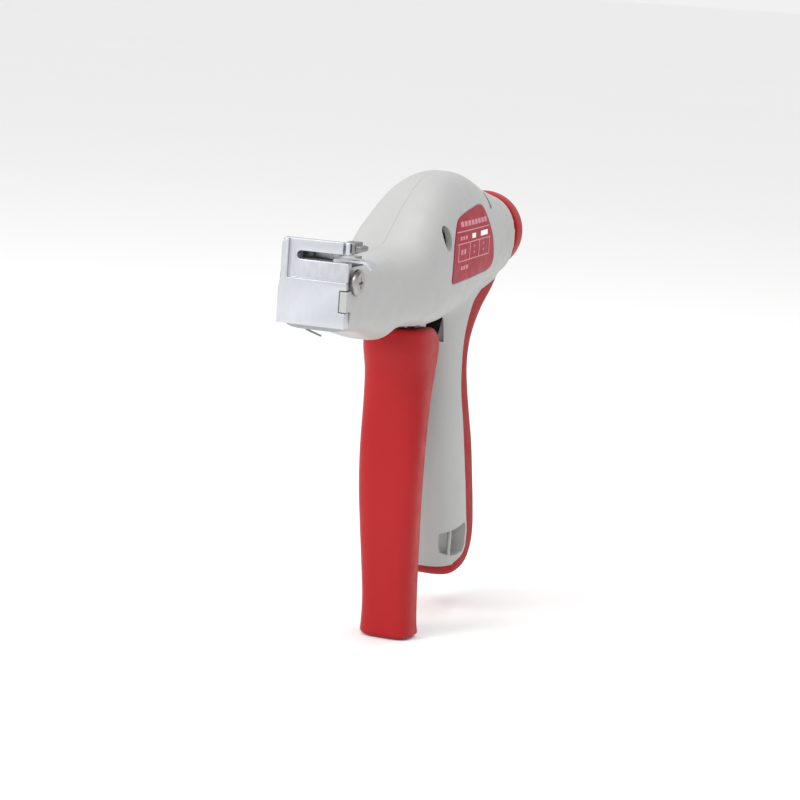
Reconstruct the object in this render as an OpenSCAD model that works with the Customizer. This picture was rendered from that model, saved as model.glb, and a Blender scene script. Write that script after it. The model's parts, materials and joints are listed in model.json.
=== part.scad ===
// Pistol-grip tool that pulls a cable tie tight and cuts off its tail.
// Millimetres. The tie enters at the nose, which faces -Y. The tool's left is +X and +Z is up.
// The origin lies on the flat face that the head of the tie rests on, 4 mm under the tie slot.

/* [Nose] */
// Width of the nose plate
nose_w = 24; // [23:0.5:26]
// Thickness of the nose plate behind its seat
nose_t = 3; // [2.6:0.1:3]
// Height of the tie slot
slot_h = 2.8; // [2.4:0.1:2.9]
// How far the lower half of the nose plate stands in front of the seat
pad_out = 1.2; // [0.8:0.1:1.6]
// Diameter of the pan head of the nose screws
nose_screw_d = 9.2; // [8:0.1:9.4]

/* [Housing] */
// Wall of the two housing shells
wall = 2.5; // [2:0.1:2.8]
// Thickness of the soft grip pad
pad_t = 2.2; // [1.6:0.1:2.4]
// Height of the oval recess over the housing screw
recess_d = 9.4; // [8.4:0.2:9.8]

/* [Trigger] */
// Wall of the moulded trigger grip
trigger_wall = 2.6; // [2:0.1:3]
// Diameter of the trigger's pivot pin
pivot_d = 5; // [4:0.5:6]
// Diameter of the drive link's pins
link_pin_d = 4; // [3:0.5:4]

/* [Tension knob] */
// Diameter of the red knob
knob_d = 32; // [31:0.5:33]
// Diameter of the tension screw
screw_d = 8; // [6:0.5:8]
// Diameter of the wire of the tension spring
spring_wire = 2; // [1.6:0.1:2.2]

/* [Hidden] */
$fn = 48;

fit = 0.05;            // radial clearance of every running fit
split = 0.05;          // half the seam between the two housing shells
pad_gap = 0.1;         // gap between the grip pad and the shells
clip_wire = 0.7;       // wire of the small clip under the nose

// The tie slot and the edges of the nose plate, as heights
slot_z = 4;
plate_top = 9.5;
plate_bottom = -19.5;
ledge_z = -3.8;

// Axes across the tool, as [y, z]
trigger_axis = [106, 8];
link_rear = [100, -16];
link_front = [36, -4];
lever_axis = [40, -16];
pawl_axis = [16, -3.5];
screw_left = [88.4, 4.6];                            // the screw driven from the left
// The screws driven from the right, each with the reach of its post
screws_right = [[150, -14.3, 8.6], [130, -74, 11], [139, -104, 11]];
nose_screw_at = [6.2, -4.1];
strap_bar_at = [9.9, 139.4];                         // the upright bar in the lanyard pocket, as [x, y]
knob_z = -1;           // the knob, screw, spring and plunger share this height

// The head: distance behind the seat, half width, top, bottom, squareness of the section's upper
// half and of its lower half
HEAD = [[3, 12.6, 1, -21.5, 5, 5],
        [25, 13, 1, -24.5, 4, 4],
        [48, 13.8, 1.3, -30, 2.8, 2.8],
        [56, 15.2, 1.9, -28.4, 2.5, 2.5],
        [66, 17, 3.6, -27, 2.4, 3],
        [75, 18, 9, -27.8, 2.4, 3.6],
        [85, 18.6, 15.7, -28.7, 2.3, 3.6],
        [105, 18.2, 24.8, -28.9, 2.3, 3.4],
        [130, 17.5, 26.1, -27.5, 2.4, 2.8],
        [155, 16.7, 19.4, -23.8, 2.4, 2.4],
        [180, 15.6, 14.3, -19.5, 2.3, 2.3]];
// The handle: height, front, back, half width
HANDLE = [[-18, 106, 182, 14.2],
          [-22, 108.5, 174.5, 14.2],
          [-28, 111, 161.5, 13.8],
          [-38, 114, 150, 13.1],
          [-48, 115.5, 146.6, 13],
          [-58, 116, 149.1, 13.2],
          [-69, 117.5, 153.1, 13.7],
          [-82, 120, 159.6, 13.9],
          [-96, 124.5, 164.2, 13.9],
          [-110, 129, 169, 13.7],
          [-121, 132.5, 171, 13.5],
          [-128, 134.5, 169, 13],
          [-133.5, 138, 164, 11.5],
          [-136.5, 143, 158, 8.5]];
// The trigger grip: height, front, back edge, half width
GRIP = [[-29.3, 78.5, 92.5, 12.8],
        [-34, 78, 98.5, 13],
        [-38, 78.3, 99.6, 13],
        [-41, 79.5, 99.5, 12.9],
        [-47, 82, 98.5, 12.6],
        [-58, 83.7, 96, 12.4],
        [-76, 83.5, 94.5, 12.3],
        [-90, 84, 95.2, 12],
        [-104, 86.2, 97, 11.5],
        [-119, 89, 99.8, 10.9],
        [-136, 92, 103, 10.3],
        [-146, 93, 104, 10.5],
        [-151, 93, 105, 11]];

handle_n = 2.6;        // squareness of the handle's section
grip_n = 3.6;          // squareness of the trigger's front
pad_from = -2;         // angle on the handle's flank at which the grip pad begins
pad_top = -19.5;        // height at which the grip pad begins

// ---- Smooth values between the rows of a table, and rounded sections ----

function row_of(T, s, up, i = 0) =
    (i >= len(T) - 2 || up * s < up * T[i + 1][0]) ? i : row_of(T, s, up, i + 1);
function slope(T, c, i) =
    i == 0 ? (T[1][c] - T[0][c]) / (T[1][0] - T[0][0])
    : i == len(T) - 1 ? (T[i][c] - T[i - 1][c]) / (T[i][0] - T[i - 1][0])
    : (T[i + 1][c] - T[i - 1][c]) / (T[i + 1][0] - T[i - 1][0]);
// Column c of table T at position s, on a smooth curve through the rows
function value(T, c, s) =
    let (up = T[1][0] > T[0][0] ? 1 : -1)
    let (i = row_of(T, s, up))
    let (h = T[i + 1][0] - T[i][0])
    let (t = (s - T[i][0]) / h)
    let (m = slope(T, c, i) * h)
    let (n = slope(T, c, i + 1) * h)
    (2*t*t*t - 3*t*t + 1) * T[i][c] + (t*t*t - 2*t*t + t) * m
    + (3*t*t - 2*t*t*t) * T[i + 1][c] + (t*t*t - t*t) * n;

function power(v, n) = sign(v) * pow(abs(v), 2 / n);
function head_point(y, a, in) =
    let (top = value(HEAD, 2, y) - in)
    let (bottom = value(HEAD, 3, y) + in)
    let (n = value(HEAD, sin(a) < 0 ? 5 : 4, y))
    [(value(HEAD, 1, y) - in) * power(cos(a), n), y,
     (top + bottom) / 2 + (top - bottom) / 2 * power(sin(a), n)];
function handle_point(z, a, in) =
    let (front = value(HANDLE, 1, z) + in)
    let (back = value(HANDLE, 2, z) - in)
    [(value(HANDLE, 3, z) - in) * power(cos(a), handle_n),
     (front + back) / 2 + (back - front) / 2 * power(sin(a), handle_n), z];
function grip_point(z, a, in) =
    let (front = value(GRIP, 1, z) + in)
    let (back = value(GRIP, 2, z))
    [(value(GRIP, 3, z) - in) * power(cos(a), grip_n),
     back - (back - front) * power(sin(a), grip_n), z];

// Where the head's and the grip pad's sections lie
HEAD_AT = [3, 9, 17, 25, 34, 42, 50, 58, 66, 75, 84, 94, 104, 114, 124, 135, 146, 158, 170, 180];
PAD_AT = [pad_top, -22, -27, -32, -38, -48, -58, -69, -82, -96, -110, -121, -128, -131.5, -134.2];
// How far the shell steps in under the grip pad at height z, with a slight step above the pad
function pad_depth(z) = z > pad_top ? 0.3 : min(pad_t, 0.6 + (pad_top - z) * 0.3);

function reversed(v) = [for (j = [len(v) - 1 : -1 : 0]) v[j]];
function total(v, i = 0) = i == len(v) - 1 ? v[i] : v[i] + total(v, i + 1);
// Twice the area vector of a section, by the right-hand rule
function turn(s) = total([for (j = [0 : len(s) - 1]) cross(s[j] - s[0], s[(j + 1) % len(s)] - s[0])]);

// A closed solid through sections that have the same number of points
module skin(rings) {
    along = total(rings[1]) - total(rings[0]);
    sections = turn(rings[0]) * along > 0 ? [for (s = rings) reversed(s)] : rings;
    n = len(sections[0]);
    m = len(sections);
    sides = [for (i = [0 : m - 2]) for (j = [0 : n - 1])
             for (t = [[i*n + j, i*n + (j + 1) % n, (i + 1)*n + (j + 1) % n],
                       [i*n + j, (i + 1)*n + (j + 1) % n, (i + 1)*n + j]]) t];
    // each end is closed by triangles that zigzag between its two sides
    cap = [for (j = [0 : ceil(n/2) - 2]) for (t = [[j, j + 1, n - 2 - j], [j, n - 2 - j, n - 1 - j]])
           if (t[1] != t[2]) t];
    first = [for (t = cap) reversed(t)];
    last = [for (t = cap) [for (v = t) v + (m - 1)*n]];
    polyhedron(points = [for (s = sections) for (p = s) p], faces = concat(sides, first, last));
}

// ---- Small shapes ----

// A flat shape in the Y-Z plane, from x0 to x1
module across(x0, x1) {
    translate([x0, 0, 0]) rotate([90, 0, 90]) linear_extrude(height = x1 - x0) children();
}
// A round bar along X through point p = [y, z]
module rod_x(p, r, x0, x1) {
    translate([x0, p[0], p[1]]) rotate([0, 90, 0]) cylinder(r = r, h = x1 - x0);
}
// A round bar along Y on the knob's axis
module rod_y(r, y0, y1) {
    translate([0, y0, knob_z]) rotate([-90, 0, 0]) cylinder(r = r, h = y1 - y0);
}
// A box from its lowest to its highest corner
module block(a, b) {
    translate(a) cube(b - a);
}
// A straight bar with round ends, in the Y-Z plane
module bar(p, q, r1, r2) {
    heading = atan2(q[1] - p[1], q[0] - p[0]);
    polygon(concat([for (a = [90 : 15 : 270]) p + r1*[cos(heading + a), sin(heading + a)]],
                   [for (a = [-90 : 15 : 90]) q + r2*[cos(heading + a), sin(heading + a)]]));
}
// A coil spring along +Z from 0 to its length
module coil(r, wire, length, turns) {
    steps = 14;
    skin([for (k = [0 : turns*steps])
          let (a = k*360/steps)
          let (z = wire/2 + (length - wire) * k / (turns*steps))
          [for (j = [0 : 5]) let (b = -j*60)
           [(r + wire/2*cos(b))*cos(a), (r + wire/2*cos(b))*sin(a), z + wire/2*sin(b)]]]);
}

// ---- Housing ----

module half_head(side) {
    steps = 10;
    skin([for (y = HEAD_AT)
          concat([for (k = [0 : steps]) let (p = head_point(y, 90 - 180*k/steps, 0))
                  [side*max(p[0], split), p[1], p[2]]],
                 [for (k = [steps : -1 : 0]) let (p = head_point(y, 90 - 180*k/steps, wall))
                  [side*max(p[0], split), p[1], p[2]]])]);
}
// The head and the handle as solid forms, stepped in by a distance
module head_form(in) {
    skin([for (y = HEAD_AT) [for (k = [0 : 19]) head_point(y, 90 - 18*k, in)]]);
}
module handle_form(in) {
    skin([for (z = [-17.4, -38, -58, -82, -110, -121, -128, -134])
          [for (k = [0 : 23]) handle_point(z, k*15, in)]]);
}
module half_handle(side) {
    front = [-90, -78, -66, -54, -42, -30, -18, pad_from];
    back = [pad_from, 6, 18, 32, 46, 61, 76, 90];
    skin([for (z = concat([-17.4, pad_top + 0.1], PAD_AT))
          let (step = pad_depth(z))
          concat([for (a = front) let (p = handle_point(z, a, 0)) [side*max(p[0], split), p[1], p[2]]],
                 [for (a = back) let (p = handle_point(z, a, step)) [side*max(p[0], split), p[1], p[2]]],
                 [for (k = [len(back) - 1 : -1 : 0]) let (p = handle_point(z, back[k], step + wall))
                  [side*max(p[0], split), p[1], p[2]]],
                 [for (k = [len(front) - 1 : -1 : 0]) let (p = handle_point(z, front[k], wall))
                  [side*max(p[0], split), p[1], p[2]]])]);
}
// A round bar along X on the given side, +1 for the tool's left and -1 for its right
module side_rod(p, r, side, x0, x1) {
    rod_x(p, r, min(side*x0, side*x1), max(side*x0, side*x1));
}
module shell(side) {
    difference() {
        union() {
            half_head(side);
            half_handle(side);
            // floor of the handle
            block([min(side*split, side*7.4), 144, -133.7], [max(side*split, side*7.4), 161, -131.7]);
            // boss of the trigger pin, screw posts, stub that holds the rod bush
            side_rod(trigger_axis, 5.5, side, 8.3, 15);
            side_rod(screw_left, 5.8, side, split, 11);
            for (p = screws_right) {
                side_rod(p, 3.6, side, split, p[2]);
                side_rod(p, 5.2, side, 4.5, p[2]);
            }
            side_rod([78, knob_z], 4, side, 12, 15.2);
            // rails that stop the tension nut from turning
            for (z = [1.3, -5.3])
                block([min(side*11, side*14.6), 138, z], [max(side*11, side*14.6), 164, z + 2]);
            // wall at the back of the neck, around the rear bush
            intersection() {
                head_form(1);
                block([min(side*split, side*20), 176.5, -22], [max(side*split, side*20), 179.9, 20]);
            }
            if (side > 0) keyed_tab();
            if (side > 0) strap_pocket_wall();
        }
        // roof slot over the carriage, slot for the trigger, mouth for the tie
        block([-9.2, 0, -3.6], [9.2, 32.5, 3]);
        block([-8.8, 84, -33.5], [8.8, 113, -16]);
        block([-8.8, 100, -38], [8.8, 118, -26]);
        // relief over the frame, the links, the lever and the front of the plunger
        block([-9.2, 30, -6], [9.2, 46, -1.7]);
        block([-6, 30, -6], [6, 46, -0.4]);
        block([-5.6, 44, -6], [5.6, 56, -0.9]);
        block([-3, 61, -8], [3, 69.5, 1.1]);
        rod_y(3.8, 68.6, 72.4);
        // channel for the plunger through the upper screw post
        rod_y(2.8, 80.5, 97);
        // nose screw, bosses, screws
        side_rod(nose_screw_at, 2.1, side, 8, 16);
        side_rod(trigger_axis, pivot_d/2, side, 8, 13.2);
        rod_y(7, 170, 182);
        screw_holes(side);
        if (side > 0) strap_pocket();
        if (side > 0) scale_slot();
        if (side < 0) block([-7.6, 0, -30], [-0.4, 4.4, -16.6]);
    }
}
// The tab that keys the left shell into the nose plate
module keyed_tab() {
    block([9.9, -pad_out, -13.8], [12.5, 3.2, -6.8]);
}
module screw_holes(side) {
    driven = side > 0 ? [screw_left] : screws_right;
    threaded = side > 0 ? screws_right : [screw_left];
    for (p = driven) {
        if (side > 0) across(6, 22) translate(p) scale([0.72, 1]) circle(d = recess_d);
        else side_rod(p, 3.8, side, 6, 22);
        side_rod(p, 2.1, side, 0, 7);
    }
    for (p = threaded) side_rod(p, 2, side, 0, 7);
}
// Lanyard pocket low on the left flank, with an upright bar to tie a cord to
module strap_pocket_wall() {
    intersection() {
        handle_form(0.4);
        block([4.3, 130, -129], [11, 151, -110]);
    }
}
module strap_pocket() {
    difference() {
        across(6.5, 20) polygon([[134.4, -122], [135.6, -125.2], [138.8, -126.6], [142.6, -126.8],
                                 [147.6, -126.2], [149.2, -123.8], [148.6, -115.4], [146.6, -113.8],
                                 [133.2, -117]]);
        translate([strap_bar_at[0], strap_bar_at[1], -128]) cylinder(r = 0.8, h = 18);
    }
}
module label_outline() {
    polygon([[92.8, -12.6], [93.2, 0.3], [96.4, 6.2], [100.7, 10.7], [108, 12.4], [115.3, 13.4], [126, 14.6],
             [131.4, 14.4], [134.6, 12.6], [138.9, 7.8], [144.3, 1.7], [147, -4.3], [148.2, -8.2],
             [146.6, -10.6], [142.1, -11.6], [119.2, -12.3]]);
}
// Narrow slot on the shoulder of the neck
module scale_slot() {
    translate([13.2, 146.4, 14.9]) rotate([0, -30, 0]) cube([8, 3, 7], center = true);
}

module left_shell() {
    color([0.72, 0.72, 0.71]) shell(1);
}
module right_shell() {
    color([0.72, 0.72, 0.71]) shell(-1);
}
// Soft pad down the back of the handle and under its foot
module grip_pad() {
    angles = [pad_from, 6, 18, 32, 46, 61, 76, 90];
    both = concat(angles, [for (k = [len(angles) - 2 : -1 : 0]) 180 - angles[k]]);
    color([0.75, 0.2, 0.2]) union() {
        difference() {
            skin([for (z = PAD_AT)
                  concat([for (a = both) handle_point(z, a, 0)],
                         [for (k = [len(both) - 1 : -1 : 0])
                          handle_point(z, both[k], pad_depth(z) - pad_gap)])]);
            head_form(-pad_gap);
        }
        skin([for (z = [-134.2, -135.4, -136.4])
              [for (k = [0 : 23]) handle_point(z, k*15, 0)]]);
    }
}
module label_plate() {
    color([0.69, 0.19, 0.25]) intersection() {
        across(10, 22) label_outline();
        label_layer();
    }
}
// A thin layer on the flank of the head where the label sits
module label_layer() {
    skin([for (y = [91 : 6 : 151])
          concat([for (k = [2 : 14]) head_point(y, 90 - 9*k, -0.05)],
                 [for (k = [14 : -1 : 2]) head_point(y, 90 - 9*k, -0.5)])]);
}

// ---- Nose ----

module nose_plate() {
    w = nose_w/2;
    color([0.83, 0.85, 0.88]) difference() {
        union() {
            block([-w, 0, plate_bottom], [w, nose_t, plate_top]);
            rotate([90, 0, 0]) linear_extrude(height = pad_out)
                polygon([[-w, ledge_z], [-w - 0.6, ledge_z - 4], [-w - 0.6, plate_bottom], [w, plate_bottom],
                         [w, ledge_z]]);
            // raised edge on the closed side of the slot, with a cut corner
            translate([0, -pad_out, 0]) rotate([-90, 0, 0]) linear_extrude(height = pad_out)
                polygon([[-w, -ledge_z], [2.4 - w, -ledge_z], [2.4 - w, -plate_top],
                         [2 - w, -plate_top], [-w, 1.6 - plate_top]]);
        }
        // the tie slot, open on the tool's left and round at its closed end
        block([-5.4, -5, slot_z - slot_h/2], [w + 5, 5, slot_z + slot_h/2]);
        translate([-5.4, -5, slot_z]) rotate([-90, 0, 0]) cylinder(r = slot_h/2, h = 10);
        // notch for the housing's tab
        block([9.6, -5, -14.1], [w + 5, 5, -6.5]);
        // narrow slit beside the upper jaw
        block([9.6, -5, slot_z], [10.4, nose_t - 1, plate_top + 1]);
    }
}
// Steel channel behind the nose plate that guides the carriage and carries the lever
module nose_frame() {
    color([0.55, 0.56, 0.58]) difference() {
        union() {
            for (s = [-1, 1]) {
                across(s*7.95 - 0.75, s*7.95 + 0.75)
                    polygon([[nose_t, -17.6], [14, -17.6], [20, -19], [56, -19], [56, -10], [45, -8],
                             [45, -1.9], [nose_t, -1.9]]);
                side_rod(nose_screw_at, 2.9, s, 8.7, 9.15);
            }
            // rear web, with a seat for the return spring
            block([-7.2, 52, -13.6], [7.2, 56, -11.9]);
            block([-2.8, 52, -13.6], [2.8, 54, -7]);
        }
        rod_x(nose_screw_at, 2, -12, 12);
        rod_x(lever_axis, 1.5, -12, 12);
    }
}
// Dark stepped guide above the open end of the slot
module upper_jaw() {
    color([0.35, 0.35, 0.36]) union() {
        block([9.2, nose_t, slot_z + slot_h/2], [12.2, 8, 9.6]);
        block([12.2, 0.6, slot_z + slot_h/2 + 0.6], [13.6, 8, 9.6]);
        block([13.6, 1.2, 6.6], [15, 7.2, 8.6]);
        translate([15, 1.2, 7.6]) rotate([-90, 0, 0]) cylinder(r = 1, h = 6);
    }
}
// Bright strip along the bottom of the slot, curled down where it leaves the tool
module tie_guide() {
    t = 0.9;
    top = slot_z - slot_h/2 + 0.1 + t;
    color([0.9, 0.9, 0.9]) union() {
        block([5.1, nose_t, top - t], [14.8, 9.6, top]);
        block([5.1, 9, top - t], [8.8, 14, top]);
        // lip that holds the strip to the back of the nose plate
        block([5.1, nose_t, 1.2], [9.1, nose_t + t, top]);
        translate([14.8, 9.6, top - 5]) rotate([90, 0, 0]) curl(5 - t, 5, 62, 9.6 - nose_t);
    }
}
// A curved strip: part of a ring from straight up towards +X
module curl(r0, r1, angle, depth) {
    linear_extrude(height = depth) difference() {
        intersection() {
            circle(r = r1);
            polygon([[0, 0], [0, 2*r1], [2*r1*sin(angle/2), 2*r1*cos(angle/2)],
                     [2*r1*sin(angle), 2*r1*cos(angle)]]);
        }
        circle(r = r0);
    }
}
// Screws, one each side, through the shells into the frame: a pan head left, a flat head right
module nose_screws() {
    color([0.8, 0.78, 0.75]) {
        nose_screw(1, 13.7) translate([13.7, nose_screw_at[0], nose_screw_at[1]]) rotate([0, 90, 0])
            cylinder(r1 = nose_screw_d/2, r2 = nose_screw_d/2 - 1, h = 0.8);
        nose_screw(-1, 13.2);
    }
}
// A nose screw on one side, with its head up to a distance from the middle plane
module nose_screw(side, head_to) {
    difference() {
        union() {
            side_rod(nose_screw_at, 2, side, 7.4, 12.8);
            side_rod(nose_screw_at, nose_screw_d/2, side, 12.75, head_to);
            children();
        }
        for (a = [0, 90]) translate([side*(head_to + 0.6), nose_screw_at[0], nose_screw_at[1]])
            rotate([a, 0, 0]) cube([1.6, 0.9, 4.2], center = true);
    }
}
// One housing screw from the left and three from the right
module shell_screws() {
    color([0.35, 0.35, 0.36]) {
        housing_screw(screw_left, 1);
        for (p = screws_right) housing_screw(p, -1);
    }
}
module housing_screw(p, side) {
    difference() {
        union() {
            side_rod(p, 2, side, -6.8, 6);
            side_rod(p, 3.4, side, 6, 8.6);
        }
        side_rod(p, 1.5, side, 7.2, 9);
    }
}
// Small bent wire under the nose
module wire_clip() {
    color([0.2, 0.2, 0.2]) {
        translate([-3.4, nose_t + 1, -21.6]) rotate([0, 107, 0]) cylinder(d = clip_wire, h = 5.8);
        translate([-3.4, nose_t + 1, -21.8]) cylinder(d = clip_wire, h = 5);
    }
}

// ---- Fixed pins and bushes ----

module trigger_pin() {
    color("silver") rod_x(trigger_axis, pivot_d/2, -13.2, 13.2);
}
module lever_pin() {
    color("silver") rod_x(lever_axis, 1.5, -9.6, 9.6);
}
// Block that guides the front of the plunger
module rod_bush() {
    color([0.2, 0.2, 0.22]) difference() {
        block([-11, 76, -6], [11, 80, 2.6]);
        rod_y(2.5 + fit, 70, 90);
    }
}
module rear_bush() {
    color("goldenrod") difference() {
        union() {
            rod_y(7, 170, 180);
            rod_y(9, 174, 176);
        }
        rod_y(screw_d/2 + fit, 160, 190);
    }
}
// Compression spring behind the carriage, against the frame's rear web
module return_spring() {
    color("silver") translate([0, 51.9, -9.5]) rotate([90, 0, 0]) coil(1.8, 0.8, 11.7, 5);
}

// ---- Trigger ----

module trigger_grip() {
    steps = 12;
    heights = [GRIP[0][0], -31, -34, -38, -41, -44, -47, -52, -58, -67, -76, -90, -104, -119, -136, -146,
               -151];
    color([0.75, 0.22, 0.22]) difference() {
        union() {
            skin([for (z = heights)
                  concat([for (k = [0 : steps]) grip_point(z, 180*k/steps, 0)],
                         [for (k = [steps : -1 : 0]) grip_point(z, 180*k/steps, trigger_wall)])]);
            // closed top and foot, and ribs that hold the steel frame
            skin([for (z = [GRIP[0][0], GRIP[0][0] - 2.6])
                  [for (k = [0 : steps]) grip_point(z, 180*k/steps, 0.4)]]);
            skin([for (z = [-148.6, -151]) [for (k = [0 : steps]) grip_point(z, 180*k/steps, 0.4)]]);
            for (z = [-52, -80, -106]) skin([for (h = [z, z - 2])
                [for (k = [0 : steps]) grip_point(h, 180*k/steps, 0.4)]]);
        }
        block([-8, 84.9, -34], [8, 110, -28]);
        for (s = [-1, 1]) across(s*6.8 - 1, s*6.8 + 1) leg(108);
    }
}
// Outline of an arm of the trigger frame inside the grip, with its back edge at a distance
module leg(back) {
    polygon([[88.6, -36], [back, -36], [back, -80], [back + 2.8, -108], [92.4, -108], [88.6, -80]]);
}
// Two steel arms joined by a web: they run from the pivot down into the grip
module trigger_frame() {
    color([0.5, 0.5, 0.52]) difference() {
        union() {
            for (s = [-1, 1]) across(s*6.8 - 1, s*6.8 + 1) {
                bar(trigger_axis, link_rear, 6, 5);
                bar(link_rear, [91, -36], 5, 2.4);
                leg(93.4);
            }
            block([-5.8, 88.6, -46], [5.8, 90.6, -36]);
        }
        rod_x(trigger_axis, pivot_d/2 + fit, -10, 10);
        rod_x(link_rear, link_pin_d/2, -10, 10);
    }
}
module link_rear_pin() {
    color("silver") rod_x(link_rear, link_pin_d/2, -7.8, 7.8);
}
// A pair of flat links from the trigger frame to the carriage
module drive_links() {
    color([0.6, 0.6, 0.62]) difference() {
        for (s = [-1, 1]) across(s*4.2 - 0.9, s*4.2 + 0.9) bar(link_rear, link_front, 4, 3.4);
        rod_x(link_rear, link_pin_d/2 + fit, -10, 10);
        rod_x(link_front, link_pin_d/2 + 0.4, -10, 10);
    }
}

// ---- Gripper ----

// Sliding block with a C-shaped head that the tie passes through
module gripper_carriage() {
    color([0.62, 0.63, 0.65]) difference() {
        union() {
            block([-6.9, 5, -8], [6.9, 26, 2.6]);
            block([-3, 26, -8], [3, 40, -0.7]);
            block([-8.6, 5, 0], [-6, 20, 6.9]);
            block([-8.6, 5, slot_z + slot_h/2 + 0.2], [4, 15, 6.9]);
            block([-3, 36, -11.6], [3, 40, -8]);
        }
        // pocket for the pawl, bores for its pin and the link pin, seat of the pawl spring
        block([-4, 8, -6.6], [4, 24, 3]);
        rod_x(pawl_axis, 1.25, -10, 10);
        rod_x(link_front, link_pin_d/2, -10, 10);
        translate([0, 20.6, -9]) cylinder(r = 1.6, h = 5);
        block([-6.9, 4, slot_z - slot_h/2 - 0.2], [-6, 16, slot_z + slot_h/2 + 0.2]);
    }
}
module link_front_pin() {
    color("silver") rod_x(link_front, link_pin_d/2, -5.6, 5.6);
}
// Toothed pawl that holds the tie against the carriage's head. At rest its teeth close the slot.
module grip_pawl() {
    teeth = 4;
    pitch = 1.3;
    tip = slot_z + slot_h/2 - 0.1;
    root = tip - 0.8;
    front = 9.2;
    color([0.3, 0.3, 0.32]) difference() {
        across(-3.7, 3.7) polygon(concat(
            [for (k = [0 : teeth - 1]) for (c = [[0, root], [pitch, tip]]) [front + pitch*k + c[0], c[1]]],
            [[14.6, root], [16.6, 1.8], [18.8, -1.4], [22.8, -2.6], [22.8, -4.7], [16, -6.2], [12.6, -4.6],
             [front, 0]]));
        rod_x(pawl_axis, 1.25 + fit, -10, 10);
        // the teeth are narrower than the pawl
        block([2.6, 5, 2.6], [5, 20, 8]);
    }
}
module pawl_pin() {
    color("silver") rod_x(pawl_axis, 1.25, -6.8, 6.8);
}
module pawl_spring() {
    color("silver") translate([0, 20.6, -7.9]) coil(1.1, 0.5, 2.3, 4);
}

// ---- Cut-off ----

// Bell-crank lever: its front tip lifts the blade and its upright end bears on the plunger
module cutoff_lever() {
    color([0.45, 0.45, 0.48]) difference() {
        across(-2.4, 2.4) {
            bar([5, -12.4], lever_axis, 1.3, 3);
            bar(lever_axis, [62, -17.5], 3, 2.8);
            bar([62, -17.5], [66.4, knob_z - 1], 2.8, 2.5);
        }
        rod_x(lever_axis, 1.5 + fit, -10, 10);
    }
}
// Guillotine blade behind the nose plate, sharpened along its top edge
module cutter_blade() {
    color([0.75, 0.76, 0.78]) across(-6.9, 4.9)
        polygon([[nose_t + 0.3, -11], [nose_t + 1.7, -11], [nose_t + 1.7, 1.2], [nose_t + 0.3, 2.4]]);
}
// Rod with a flange at each end that carries the spring's force to the lever
module plunger() {
    color([0.6, 0.6, 0.62]) union() {
        rod_y(3.4, 69.1, 71.6);
        rod_y(2.5, 71.6, 118);
        rod_y(8.8, 117, 120);
        rod_y(4.6, 120, 127);
    }
}
module tension_spring() {
    color("silver") translate([0, 120.1, knob_z]) rotate([-90, 0, 0]) coil(7.4, spring_wire, 26.8, 6);
}
// Nut that slides on its ears without turning and loads the spring
module tension_nut() {
    color([0.5, 0.5, 0.5]) difference() {
        union() {
            rod_y(8.8, 147, 154);
            block([-13, 147, knob_z - 2], [13, 154, knob_z + 2]);
        }
        rod_y(screw_d/2 + fit, 140, 160);
    }
}

// ---- Knob ----

module tension_screw() {
    color([0.6, 0.6, 0.62]) difference() {
        union() {
            rod_y(screw_d/2, 136, 189);
            rod_y(7, 167.5, 169.7);
        }
        rod_y(1.6, 180, 190);
    }
}
module knob_core() {
    color([0.6, 0.6, 0.6]) difference() {
        union() {
            rod_y(12, 181, 190);
            rod_y(13.6, 181, 183.5);
        }
        rod_y(screw_d/2, 180, 189);
        rod_y(2, 188, 191);
    }
}
// Red cap of the knob, with rounded edges
module knob_cap() {
    r = knob_d/2;
    color([0.8, 0.25, 0.25]) translate([0, 0, knob_z]) rotate([-90, 0, 0]) rotate_extrude($fn = 96)
        polygon([[13.7, 181.2], [r - 0.9, 181.2], [r, 182.4], [r, 187.5], [r - 0.7, 190],
                 [r - 2.4, 192], [r - 5, 193.2], [5, 194], [0, 194], [0, 192.4], [4, 192.4],
                 [4, 190.1], [12.1, 190.1], [12.1, 183.6], [13.7, 183.6]]);
}
module knob_screw() {
    color("silver") {
        rod_y(1.6, 182, 190.1);
        rod_y(3.4, 190.1, 192.2);
    }
}

left_shell();
right_shell();
nose_plate();
nose_frame();
upper_jaw();
tie_guide();
nose_screws();
shell_screws();
grip_pad();
label_plate();
trigger_pin();
lever_pin();
rod_bush();
rear_bush();
wire_clip();
return_spring();
trigger_grip();
trigger_frame();
link_rear_pin();
drive_links();
gripper_carriage();
link_front_pin();
grip_pawl();
pawl_pin();
pawl_spring();
cutoff_lever();
cutter_blade();
plunger();
tension_spring();
tension_nut();
tension_screw();
knob_core();
knob_cap();
knob_screw();
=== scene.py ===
"""A cable tie tension and cut-off gun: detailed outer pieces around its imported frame."""
import json
import math
import bpy
import bmesh
from mathutils import Matrix, Vector


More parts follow.
